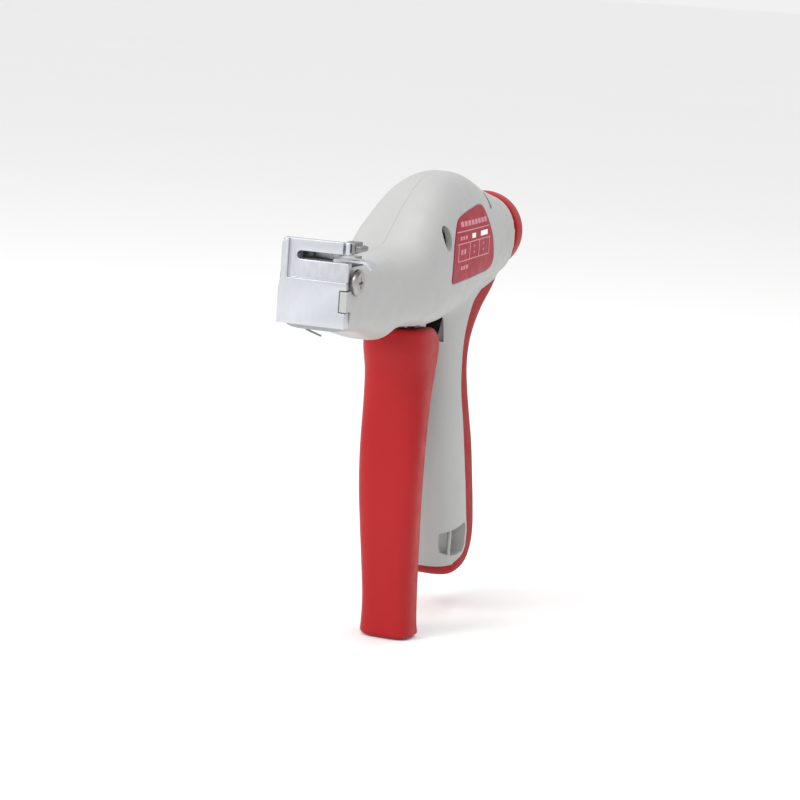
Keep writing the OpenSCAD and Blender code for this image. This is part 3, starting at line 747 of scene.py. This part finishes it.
def make_trigger():
    """The red moulding: a rounded D-shaped shell, open at the back, with ribs and slots for the frame."""
    rows = rounded_ends(TRIGGER_TOP, TRIGGER_FOOT, TRIGGER_ROUND, 1.2)
    sections = [grip_ring(z, inset * 0.8 + 0.04) for z, inset in rows]
    grip = loft("trigger_grip_moulding", sections, "red_plastic")
    inside = loft("inside", [grip_ring(z, TRIGGER_WALL, 4) for z in steps(-31.6, -148.6, 2)])
    for top in RIB_TOPS:
        combine(inside, block("rib", (-20, 70, top - 1.8), (20, 120, top)))
    combine(grip, inside)
    combine(grip, block("arch", (-8, 84.9, -34), (8, 112, -28)))
    for side in (-1, 1):
        arm = [(88.4, -33), (110, -33), (110, -108), (92.2, -108), (88.4, -80)]
        combine(grip, across("arm", arm, *sorted((side * 5.8, side * 7.8))))
    soften(grip, 30)
    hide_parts("trigger_grip")
    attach(grip, "trigger")


make_trigger()

# ---- Knob cap ----

KNOB_RADIUS = 16


def make_knob():
    """A turned cap with a rounded rim."""
    outer = KNOB_RADIUS
    profile = [(13.72, 181.25), (outer - 1.0, 181.25), (outer - 0.3, 181.55), (outer - 0.02, 182.3),
               (outer - 0.02, 187.6), (outer - 0.25, 189), (outer - 0.8, 190.4), (outer - 1.8, 191.7),
               (outer - 3.3, 192.7), (outer - 5.5, 193.35), (8, 193.75), (4, 193.93), (0.01, 193.97),
               (0.01, 192.42), (4, 192.42), (4, 190.12), (12.12, 190.12), (12.12, 183.6), (13.72, 183.6)]
    sides = 144
    points, faces = [], []
    for r, y in profile:
        for k in range(sides):
            a = 2 * math.pi * k / sides
            points.append((r * math.cos(a), y, KNOB_HEIGHT + r * math.sin(a)))
    for i in range(len(profile)):
        j = (i + 1) % len(profile)
        for k in range(sides):
            m = (k + 1) % sides
            faces.append((i * sides + k, i * sides + m, j * sides + m, j * sides + k))
    cap = outward(new_piece("red_knob_cap", points, faces, "red_plastic"))
    soften(cap, 24)
    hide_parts("knob_cap")
    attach(cap, "knob")


make_knob()

# ---- Metal and inner pieces: the CAD forms, most with their edges broken ----

# node: width of the broken edges, material
CHAMFERS = {"nose_plate": (0.28, "plated_steel"), "upper_jaw": (0.25, "dark_steel"),
            "tie_guide": (0.15, "plated_steel"), "nose_screws": (0.22, "screw_steel"),
            "shell_screws": (0.2, "dark_steel"), "nose_frame": (0.15, "steel"),
            "trigger_frame": (0.2, "steel"), "drive_links": (0.2, "steel"),
            # painted shade: the gripper carriage is coloured dark to stand for the shade inside the nose,
            # seen through the tie slot
            "gripper_carriage": (0.25, "dark_steel"), "grip_pawl": (0.1, "steel"),
            "cutoff_lever": (0.25, "dark_steel"), "tension_nut": (0.3, "steel"),
            "knob_core": (0.3, "aluminium"), "rear_bush": (0.3, "brass")}
# node that is shown as it is: material
PLAIN = {"wire_clip": "dark_steel", "trigger_pin": "steel", "lever_pin": "steel",
         "rod_bush": "black_plastic", "link_rear_pin": "steel", "link_front_pin": "steel",
         "pawl_pin": "steel", "pawl_spring": "spring_steel", "cutter_blade": "plated_steel",
         "plunger": "steel", "tension_screw": "steel", "knob_screw": "steel"}


def body_name(node):
    """The body that a CAD node moves with."""
    return next(body for body, names in frame["record"]["behaviour"]["bodies"].items() if node in names)


def chamfered(node, width, material):
    """A copy of a CAD node with welded faces and rounded edges, which stands for the node."""
    piece = bpy.data.objects.new("finished_" + node, nodes[node].data.copy())
    bpy.context.scene.collection.objects.link(piece)
    work = bmesh.new()
    work.from_mesh(piece.data)
    bmesh.ops.remove_doubles(work, verts=work.verts, dist=0.000004)
    bmesh.ops.dissolve_limit(work, angle_limit=math.radians(1), verts=work.verts, edges=work.edges)
    work.to_mesh(piece.data)
    work.free()
    edge = piece.modifiers.new("edge", "BEVEL")
    edge.width = width * MM
    edge.segments = 3
    edge.limit_method = "ANGLE"
    edge.angle_limit = math.radians(40)
    edge.use_clamp_overlap = True
    applied(piece)
    use_material(piece, material)
    soften(piece, 35)
    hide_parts(node)
    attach(piece, body_name(node))


def spring(node):
    """A copy of a spring's CAD node in spring steel, attached to the body it moves with."""
    piece = bpy.data.objects.new("finished_" + node, nodes[node].data.copy())
    bpy.context.scene.collection.objects.link(piece)
    use_material(piece, "spring_steel")
    soften(piece, 70)
    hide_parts(node)
    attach(piece, body_name(node))
    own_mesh(piece)


spring("return_spring")
spring("tension_spring")
for node_name, (chamfer, metal_name) in CHAMFERS.items():
    chamfered(node_name, chamfer, metal_name)
for node_name, metal_name in PLAIN.items():
    use_material(nodes[node_name], metal_name)

# ---- Floor and light ----

FLOOR_GAP = 0.0005       # the floor lies this far under the tool
FLOOR_SIZE = 160


def make_stage():
    """A plain pale floor under an even white sky."""
    low = cad_box[0][2] - FLOOR_GAP
    bpy.ops.mesh.primitive_plane_add(size=FLOOR_SIZE, location=(0, 0, low))
    floor = bpy.context.object
    floor.name = "floor"
    mat, tree, shader = node_material("floor", roughness=0.9)
    tone = noise(tree, 1.5, 2)
    pale = mixed_colour(tree, tone, (0.94, 0.94, 0.938), (0.96, 0.96, 0.958))
    tree.links.new(pale, shader.inputs["Base Color"])
    floor.data.materials.append(mat)
    world = bpy.data.worlds.new("studio")
    world.use_nodes = True
    sky = world.node_tree.nodes["Background"]
    sky.inputs["Color"].default_value = (1, 1, 1, 1)
    sky.inputs["Strength"].default_value = 0.88
    bpy.context.scene.world = world


LIGHT_AIM = Vector((0, 0.09, -0.05))
LIGHT_SIZE = 0.6


def area_light(name, place, power_watts):
    """A soft white disk that faces the tool."""
    data = bpy.data.lights.new(name, "AREA")
    data.shape = "DISK"
    data.size = LIGHT_SIZE
    data.energy = power_watts
    light = bpy.data.objects.new(name, data)
    light.location = place
    light.rotation_euler = (Vector(place) - LIGHT_AIM).to_track_quat("Z", "Y").to_euler()
    bpy.context.scene.collection.objects.link(light)


make_stage()
area_light("key", (-0.55, -0.75, 0.75), 9)
area_light("top", (0.1, 0.2, 1.1), 4)
area_light("fill", (0.9, -0.5, 0.2), 0.2)
bpy.context.scene.view_settings.view_transform = "Standard"
